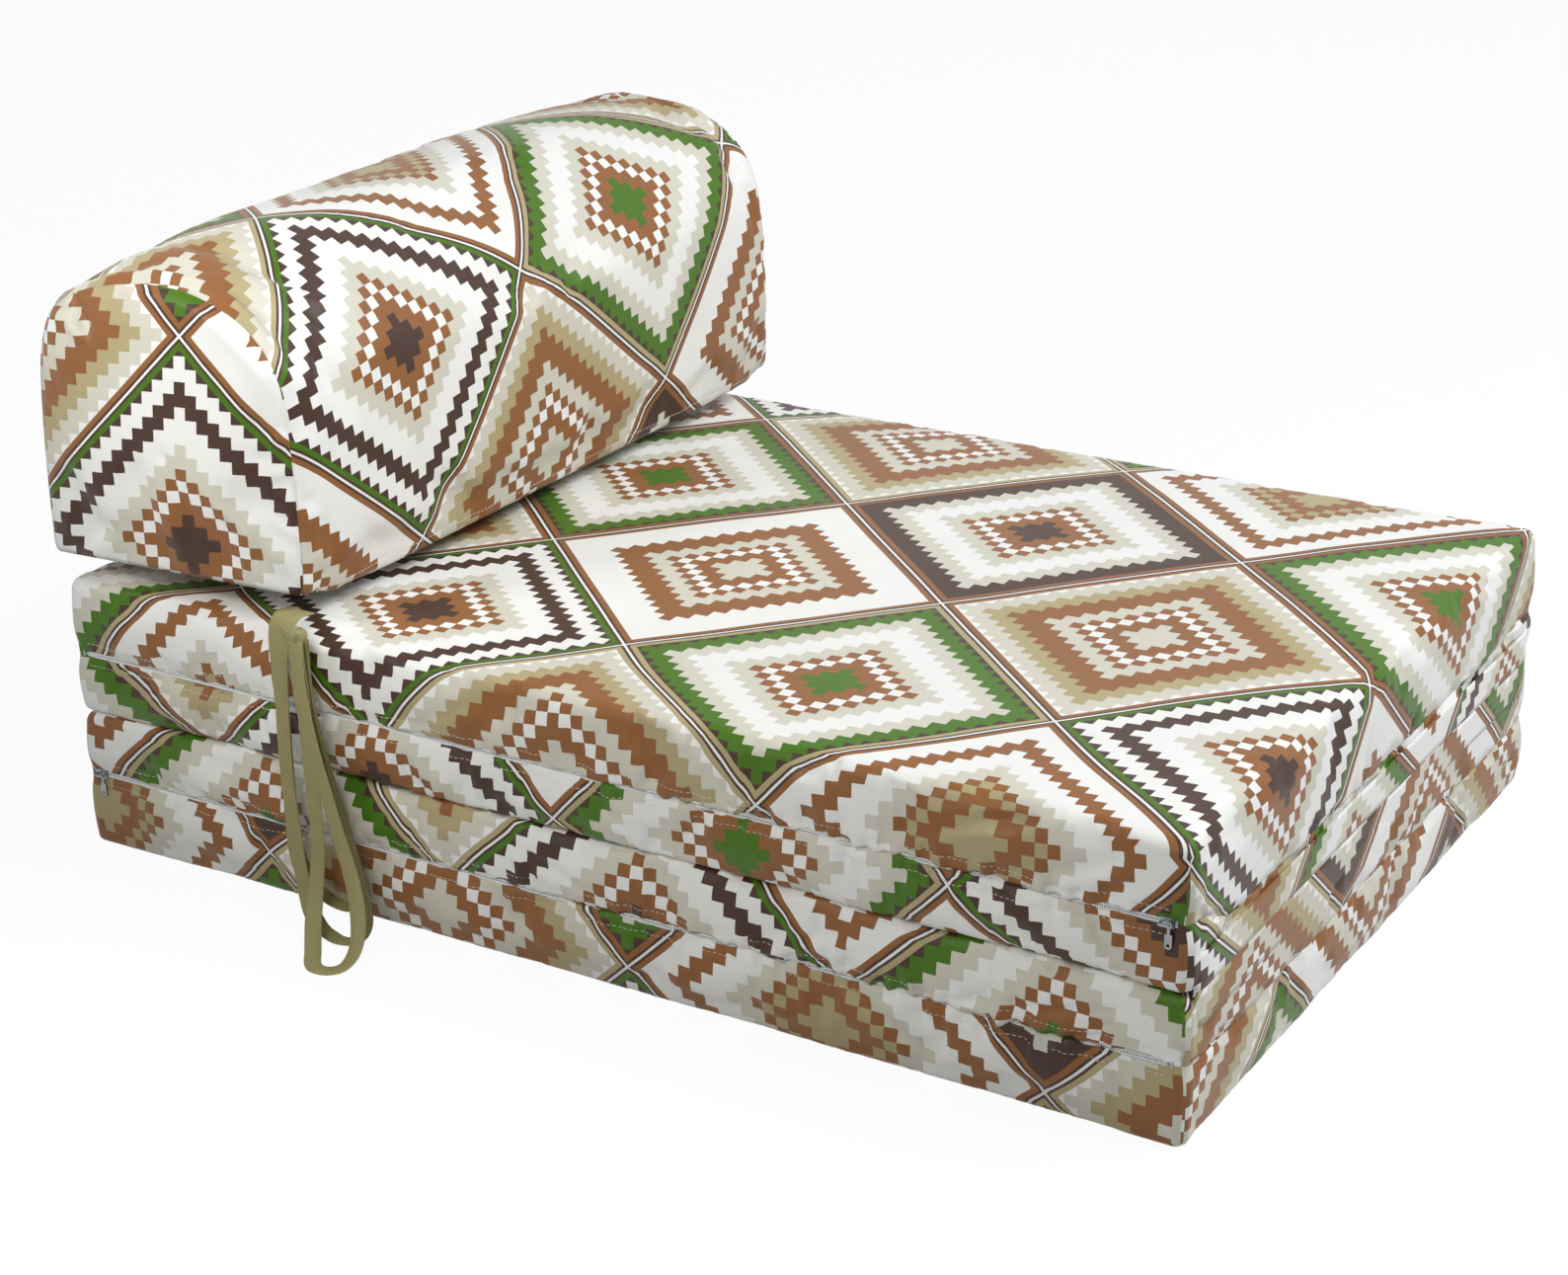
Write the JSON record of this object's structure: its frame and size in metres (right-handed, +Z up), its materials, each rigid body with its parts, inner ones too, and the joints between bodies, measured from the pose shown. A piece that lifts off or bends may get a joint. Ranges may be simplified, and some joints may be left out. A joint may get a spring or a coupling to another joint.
{
  "type": "chair bed",
  "caption": "Folding chair bed: two stacked foam blocks in zipped cotton covers, hinged at the front, with a hinged bolster backrest that becomes the pillow.",
  "frame": {"origin": "on the floor, under the middle of the two stacked blocks", "axes": "+X from the bolster at the rear to the front fold, +Y from the side with the zips to the far side, +Z up"},
  "size_m": [0.9123, 0.7088, 0.4627],
  "materials": {
    "printed_cotton": "satin-faced printed cotton",
    "foam": "open-cell polyurethane foam",
    "zip_tape": "woven polyester tape",
    "zip_coil": "moulded nylon coil",
    "zip_metal": "plated zinc",
    "tie_tape": "woven cotton tape"
  },
  "bodies": {
    "lower_block": {"lower_foam": "foam", "lower_cover_base": "printed_cotton", "lower_cover_top": "printed_cotton", "lower_zip_tape_base": "zip_tape", "lower_zip_tape_top": "zip_tape", "lower_zip_coil": "zip_coil", "lower_zip_stops": "zip_metal", "fold_strip_lower": "printed_cotton"},
    "upper_block": {"upper_foam": "foam", "upper_cover_base": "printed_cotton", "upper_cover_top": "printed_cotton", "upper_zip_tape_base": "zip_tape", "upper_zip_tape_top": "zip_tape", "upper_zip_coil": "zip_coil", "upper_zip_stops": "zip_metal", "fold_strip_upper": "printed_cotton", "seat_flap": "printed_cotton"},
    "bolster": {"bolster_foam": "foam", "bolster_wrap": "printed_cotton", "bolster_base_panel": "printed_cotton", "bolster_end_near": "printed_cotton", "bolster_end_far": "printed_cotton", "bolster_flap": "printed_cotton", "tie_tape_rear": "tie_tape", "tie_tape_middle": "tie_tape", "tie_tape_bow": "tie_tape", "tie_knot": "tie_tape"},
    "lower_slider": {"lower_zip_slider": "zip_metal"},
    "lower_pull": {"lower_zip_pull": "zip_metal"},
    "upper_slider": {"upper_zip_slider": "zip_metal"},
    "upper_pull": {"upper_zip_pull": "zip_metal"}
  },
  "joints": [
    {"name": "unfold", "type": "hinge", "parent": "lower_block", "child": "upper_block", "pos_m": [0.45145, 0, 0.1062], "axis": [0, 1, 0], "range_deg": [0, 180]},
    {"name": "bolster_fold", "type": "hinge", "parent": "upper_block", "child": "bolster", "pos_m": [-0.45565, 0, 0.21165], "axis": [0, 1, 0], "range_deg": [-180, 0]},
    {"name": "lower_zip_slide", "type": "slide", "parent": "lower_block", "child": "lower_slider", "axis": [1, 0, 0], "range_m": [0, 0.865]},
    {"name": "lower_pull_swing", "type": "hinge", "parent": "lower_slider", "child": "lower_pull", "pos_m": [-0.43065, -0.314, 0.058], "axis": [0, 1, 0], "range_deg": [-230, 50]},
    {"name": "upper_zip_slide", "type": "slide", "parent": "upper_block", "child": "upper_slider", "axis": [1, 0, 0], "range_m": [-0.865, 0]},
    {"name": "upper_pull_swing", "type": "hinge", "parent": "upper_slider", "child": "upper_pull", "pos_m": [0.43515, -0.314, 0.1544], "axis": [0, 1, 0], "range_deg": [-230, 50]}
  ],
  "couplings": [
    {"joint": "bolster_fold", "follows": "unfold", "ratio": -1}
  ]
}
